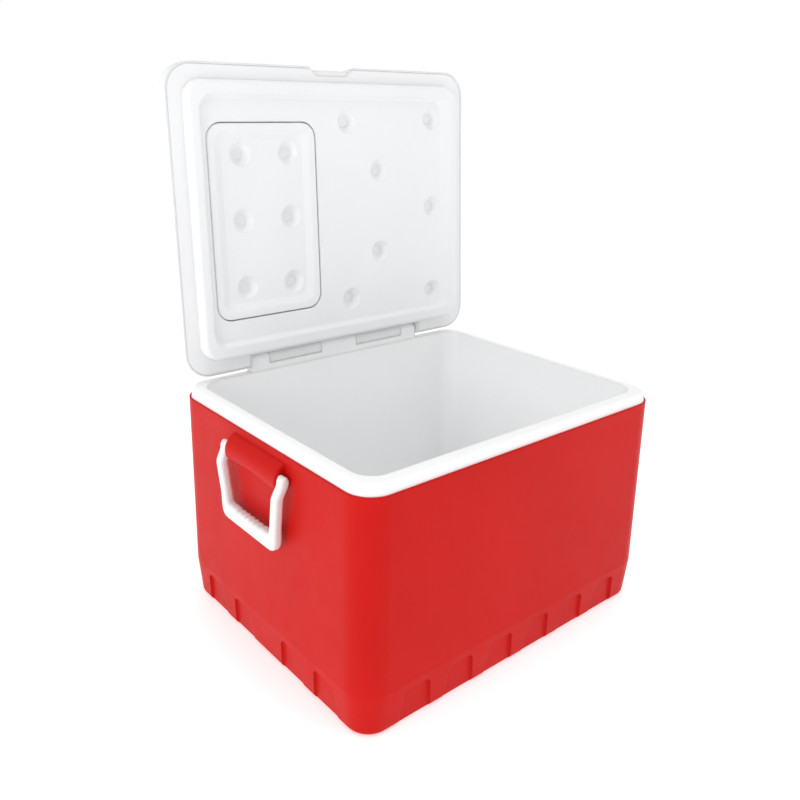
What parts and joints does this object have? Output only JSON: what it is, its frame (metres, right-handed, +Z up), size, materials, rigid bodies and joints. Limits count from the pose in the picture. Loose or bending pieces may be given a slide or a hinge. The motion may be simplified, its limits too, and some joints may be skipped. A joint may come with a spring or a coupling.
{
  "type": "cooler",
  "caption": "Large insulated picnic cooler: rectangular body with a white liner, a hinged lid with a hatch in it, a bail handle at each end and a drain plug.",
  "frame": {"origin": "centre of the flat underside that stands on the ground", "axes": "+Z up, +X towards the right end (the drain end), +Y towards the lid hinge"},
  "size_m": [0.6718, 0.5371, 0.8938],
  "materials": {
    "shell_red": "satin, fine moulded texture",
    "liner_white": "satin",
    "lid_white": "satin, fine moulded texture",
    "hatch_white": "satin, fine moulded texture",
    "handle_white": "semi-gloss",
    "drain_white": "semi-gloss",
    "foam_core": "rigid foam, cut face",
    "hinge_steel": "plain drawn rod",
    "seal_rubber": "matte"
  },
  "bodies": {
    "cooler_body": {"outer_shell": "shell_red", "inner_liner": "liner_white", "body_foam": "foam_core", "lid_hinge_rod": "hinge_steel", "drain_spout": "drain_white", "drain_nut": "drain_white"},
    "lid": {"lid_cover": "lid_white", "lid_panel": "lid_white", "lid_foam": "foam_core", "hatch_hinge_pin": "hinge_steel"},
    "hatch": {"hatch_cover": "hatch_white", "hatch_panel": "hatch_white", "hatch_foam": "foam_core"},
    "right_bail": {"handle_right": "handle_white"},
    "left_bail": {"handle_left": "handle_white"},
    "plug": {"drain_plug": "drain_white", "drain_seal": "seal_rubber"}
  },
  "joints": [
    {"name": "lid_hinge", "type": "hinge", "parent": "cooler_body", "child": "lid", "pos_m": [0, 0.2415, 0.4009], "axis": [1, 0, 0], "range_deg": [0, 93.2]},
    {"name": "hatch_hinge", "type": "hinge", "parent": "lid", "child": "hatch", "pos_m": [-0.1496, 0.25667, 0.46435], "axis": [-1, 0, 0], "range_deg": [0, 95]},
    {"name": "handle_right_pivot", "type": "hinge", "parent": "cooler_body", "child": "right_bail", "pos_m": [0.3195, 0, 0.333], "axis": [0, -1, 0], "range_deg": [0, 100]},
    {"name": "handle_left_pivot", "type": "hinge", "parent": "cooler_body", "child": "left_bail", "pos_m": [-0.3195, 0, 0.333], "axis": [0, 1, 0], "range_deg": [0, 100]},
    {"name": "drain_plug_pull", "type": "slide", "parent": "cooler_body", "child": "plug", "axis": [1, 0, 0], "range_m": [0, 0.016]}
  ]
}
